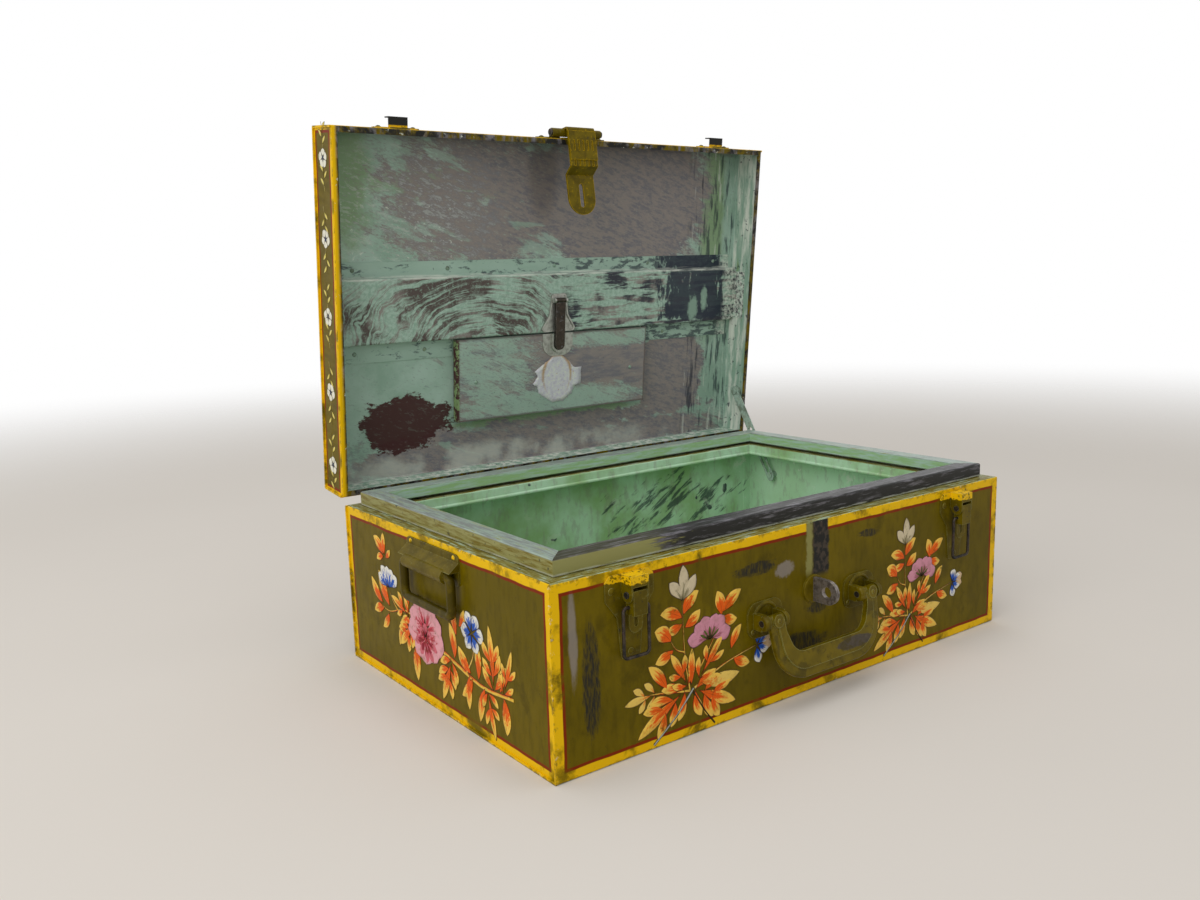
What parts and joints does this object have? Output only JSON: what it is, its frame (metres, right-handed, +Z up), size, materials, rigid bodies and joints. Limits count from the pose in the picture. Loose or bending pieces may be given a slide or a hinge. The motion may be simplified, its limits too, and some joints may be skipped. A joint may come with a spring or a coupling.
{
  "type": "tin trunk",
  "caption": "Small tin trunk with a hinged lid propped by a slotted stay, hasp and staple, toggle latches, drop handles and a shut pocket inside the lid.",
  "frame": {"origin": "centre of the flat underside, at the level of the surface it stands on", "axes": "+X along the length to the right end, +Y to the back where the lid is hinged, +Z up"},
  "size_m": [0.4804, 0.3593, 0.4336],
  "materials": {
    "olive_paint": "hand-painted gloss enamel, scratched and chipped",
    "collar_paint": "enamel worn through to dark metal",
    "green_paint": "thin green enamel, rubbed and stained",
    "fitting_paint": "enamel over pressed steel, worn at the edges",
    "bare_steel": "bare steel, dark and tarnished"
  },
  "bodies": {
    "trunk": {"body_wrap": "olive_paint", "body_end_left": "olive_paint", "body_end_right": "olive_paint", "collar_front": "collar_paint", "collar_back": "collar_paint", "collar_left": "collar_paint", "collar_right": "collar_paint", "stay_keeper": "bare_steel", "staple_disc": "bare_steel", "staple_loop": "bare_steel", "front_handle_pins": "fitting_paint", "box_rivets": "bare_steel", "hinge_base_leaf_left": "fitting_paint", "hinge_pin_left": "fitting_paint", "latch_plate_left": "fitting_paint", "latch_housing_left": "fitting_paint", "latch_pin_left": "bare_steel", "front_handle_ear_left": "fitting_paint", "end_handle_bracket_left": "fitting_paint", "hinge_base_leaf_right": "fitting_paint", "hinge_pin_right": "fitting_paint", "latch_plate_right": "fitting_paint", "latch_housing_right": "fitting_paint", "latch_pin_right": "bare_steel", "front_handle_ear_right": "fitting_paint", "end_handle_bracket_right": "fitting_paint"},
    "lid": {"lid_wrap": "olive_paint", "lid_end_left": "olive_paint", "lid_end_right": "olive_paint", "stay_stud": "bare_steel", "hasp_bracket": "fitting_paint", "pocket_band": "green_paint", "band_rivets": "bare_steel", "pocket_hinge_leaves": "green_paint", "pocket_hinge_pins": "green_paint", "clasp_plate": "green_paint", "clasp_pin": "bare_steel", "lid_rivets": "bare_steel", "hinge_lid_leaf_left": "fitting_paint", "lid_catch_left": "fitting_paint", "hinge_lid_leaf_right": "fitting_paint", "lid_catch_right": "fitting_paint"},
    "stay": {"stay_arm": "bare_steel"},
    "hasp_pin": {"hasp_pin": "bare_steel"},
    "hasp": {"hasp_strap": "fitting_paint", "hasp_cover": "fitting_paint"},
    "pocket_door": {"pocket_door": "green_paint", "door_catch": "green_paint", "door_rivets": "bare_steel"},
    "clasp_tongue": {"clasp_tongue": "fitting_paint"},
    "front_handle": {"front_handle": "fitting_paint", "front_handle_rivets": "bare_steel"},
    "latch_lever_left": {"latch_lever_left": "fitting_paint"},
    "latch_lever_right": {"latch_lever_right": "fitting_paint"},
    "latch_bail_left": {"latch_bail_left": "bare_steel"},
    "latch_bail_right": {"latch_bail_right": "bare_steel"},
    "end_handle_left": {"end_handle_left": "bare_steel"},
    "end_handle_right": {"end_handle_right": "bare_steel"}
  },
  "joints": [
    {"name": "lid_hinge", "type": "hinge", "parent": "trunk", "child": "lid", "pos_m": [0, 0.1526, 0.12565], "axis": [-1, 0, 0], "range_deg": [-84.5, 0]},
    {"name": "stay_pivot", "type": "hinge", "parent": "lid", "child": "stay", "pos_m": [0, 0.16064, 0.17826], "axis": [-1, 0, 0], "range_deg": [-0.1, 42.35]},
    {"name": "hasp_swing", "type": "hinge", "parent": "lid", "child": "hasp_pin", "pos_m": [0, 0.12931, 0.42861], "axis": [-1, 0, 0], "range_deg": [-30, 73]},
    {"name": "hasp_hang", "type": "hinge", "parent": "hasp_pin", "child": "hasp", "pos_m": [0, 0.12931, 0.42861], "axis": [-1, 0, 0], "range_deg": [-0.1, 106.95]},
    {"name": "clasp_pivot", "type": "hinge", "parent": "lid", "child": "clasp_tongue", "pos_m": [0, 0.16129, 0.28321], "axis": [-1, 0, 0], "range_deg": [-0.1, 160.2]},
    {"name": "pocket_door_hinge", "type": "hinge", "parent": "lid", "child": "pocket_door", "pos_m": [0, 0.1811, 0.18174], "axis": [1, 0, 0], "range_deg": [0, 88]},
    {"name": "front_handle_pivot", "type": "hinge", "parent": "trunk", "child": "front_handle", "pos_m": [0, -0.156, 0.067], "axis": [-1, 0, 0], "range_deg": [-11, 89]},
    {"name": "latch_lever_left_pivot", "type": "hinge", "parent": "trunk", "child": "latch_lever_left", "pos_m": [0, -0.154, 0.112], "axis": [-1, 0, 0], "range_deg": [0, 90]},
    {"name": "latch_lever_right_pivot", "type": "hinge", "parent": "trunk", "child": "latch_lever_right", "pos_m": [0, -0.154, 0.112], "axis": [-1, 0, 0], "range_deg": [0, 90]},
    {"name": "latch_bail_left_pivot", "type": "hinge", "parent": "latch_lever_left", "child": "latch_bail_left", "pos_m": [0, -0.154, 0.104], "axis": [1, 0, 0], "range_deg": [-185, 0]},
    {"name": "latch_bail_right_pivot", "type": "hinge", "parent": "latch_lever_right", "child": "latch_bail_right", "pos_m": [0, -0.154, 0.104], "axis": [1, 0, 0], "range_deg": [-185, 0]},
    {"name": "end_handle_left_pivot", "type": "hinge", "parent": "trunk", "child": "end_handle_left", "pos_m": [-0.235, 0, 0.108], "axis": [0, 1, 0], "range_deg": [0, 90]},
    {"name": "end_handle_right_pivot", "type": "hinge", "parent": "trunk", "child": "end_handle_right", "pos_m": [0.235, 0, 0.108], "axis": [0, -1, 0], "range_deg": [0, 90]}
  ],
  "couplings": [
    {"joint": "stay_pivot", "follows": "lid_hinge", "ratio": -0.5},
    {"joint": "hasp_hang", "follows": "lid_hinge", "ratio": -1.2645},
    {"joint": "clasp_pivot", "follows": "pocket_door_hinge", "ratio": 1.8182}
  ]
}
